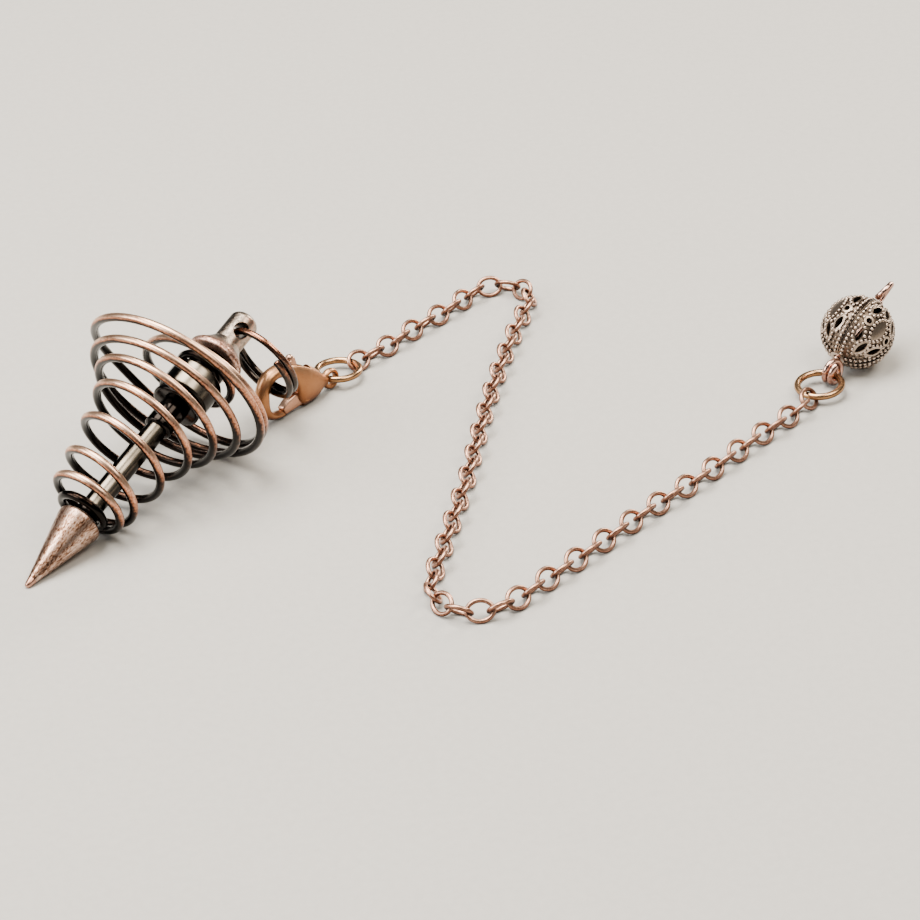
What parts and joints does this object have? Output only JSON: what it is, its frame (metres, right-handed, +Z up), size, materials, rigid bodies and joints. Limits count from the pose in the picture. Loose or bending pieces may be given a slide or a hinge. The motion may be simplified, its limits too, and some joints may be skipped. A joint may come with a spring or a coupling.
{
  "type": "pendulum pendant",
  "caption": "Copper-plated pendulum pendant: turned point in a widening spiral wire cage, on a lobster clasp, with a cable chain and a pierced filigree bead at its end",
  "frame": {"origin": "middle of the lying jewel's box in plan, on the surface it lies on", "axes": "+X from the point towards the bead, +Y away from the viewer, +Z up"},
  "size_m": [0.1175, 0.0856, 0.0255],
  "materials": {
    "point_copper": "brushed antique copper plating",
    "polished_bronze": "polished dark bronze plating",
    "bell_grey": "matte antique plating with pitted copper rim",
    "cage_wire": "antique copper plated wire, darkened on its sides",
    "clasp_copper": "satin copper plating",
    "ring_copper": "satin copper plating",
    "chain_copper": "bright copper plating",
    "bead_bronze": "antique bronze plating, darkened in the recesses"
  },
  "bodies": {
    "pendulum": {"cone_tip": "point_copper", "stem": "polished_bronze", "hub": "polished_bronze", "bell_cap": "bell_grey", "spiral_cage": "cage_wire", "split_ring": "cage_wire", "clasp_body": "clasp_copper", "clasp_rivet": "clasp_copper", "clasp_ring": "ring_copper", "chain": "chain_copper", "end_ring": "ring_copper", "eye_pin": "chain_copper", "filigree_bead": "bead_bronze"},
    "clasp_lever": {"clasp_lever": "clasp_copper"}
  },
  "joints": [
    {"name": "clasp_lever_hinge", "type": "hinge", "parent": "pendulum", "child": "clasp_lever", "pos_m": [-0.02384, 0.01338, 0.00146], "axis": [-0.7172, 0.6924, -0.0795], "range_deg": [0, 24], "stiffness_Nm_per_rad": 0.02, "springref_deg": -17.19}
  ]
}
